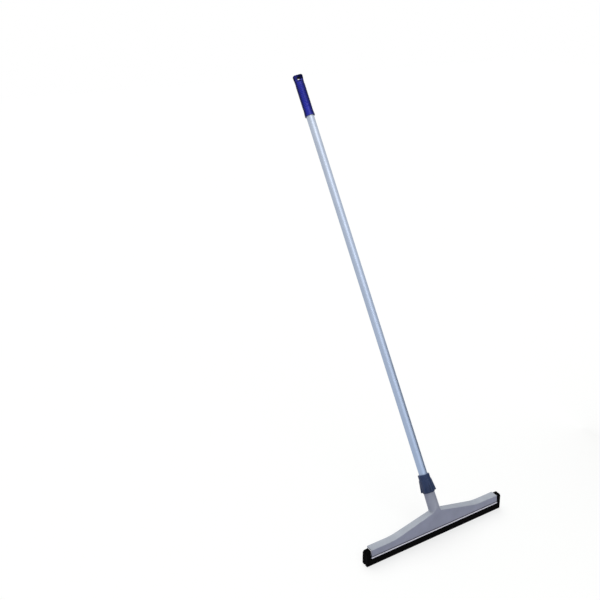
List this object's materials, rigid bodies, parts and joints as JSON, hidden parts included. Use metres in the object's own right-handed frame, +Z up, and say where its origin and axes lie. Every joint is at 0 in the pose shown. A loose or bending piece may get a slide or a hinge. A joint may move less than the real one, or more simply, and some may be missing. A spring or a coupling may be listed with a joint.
{
  "type": "floor squeegee",
  "caption": "Floor squeegee: winged plastic head with a sliding cassette of paired moss-rubber blades, and a long leaning aluminium handle clamped in the neck by a screwed lock nut.",
  "frame": {"origin": "the floor under the middle of the blade pair, in the head's mid-plane", "axes": "+X along the blades to the right, +Z up from the floor, and the handle leans towards +Y, so -Y is the front"},
  "size_m": [0.45, 0.7016, 1.1431],
  "materials": {
    "moss_rubber": "matte",
    "natural_plastic": "matte",
    "white_plastic": "satin",
    "grey_plastic": "satin",
    "navy_plastic": "satin",
    "anodised_tube": "satin",
    "black_plastic": "matte",
    "blue_plastic": "gloss"
  },
  "bodies": {
    "head": {"head_frame": "grey_plastic"},
    "refill": {"blade_cassette": "white_plastic", "blade_spline": "natural_plastic", "front_blade": "moss_rubber", "rear_blade": "moss_rubber"},
    "clamp": {"clamp_ring": "natural_plastic"},
    "nut": {"lock_nut": "navy_plastic"},
    "handle": {"handle_tube": "anodised_tube", "tube_plug": "black_plastic", "hand_grip": "blue_plastic"}
  },
  "joints": [
    {"name": "refill_slide", "type": "slide", "parent": "head", "child": "refill", "axis": [1, 0, 0], "range_m": [0, 0.44]},
    {"name": "clamp_rise", "type": "slide", "parent": "head", "child": "clamp", "axis": [0, 0.5373, 0.8434], "range_m": [0, 0.006]},
    {"name": "nut_turn", "type": "hinge", "parent": "clamp", "child": "nut", "pos_m": [0, 0.04298, 0.13827], "axis": [0, 0.5373, 0.8434], "range_deg": [0, 540]},
    {"name": "handle_pull", "type": "slide", "parent": "head", "child": "handle", "axis": [0, 0.5373, 0.8434], "range_m": [0, 0.095]}
  ],
  "couplings": [
    {"joint": "clamp_rise", "follows": "nut_turn", "m_per_rad": 0.00063662}
  ]
}
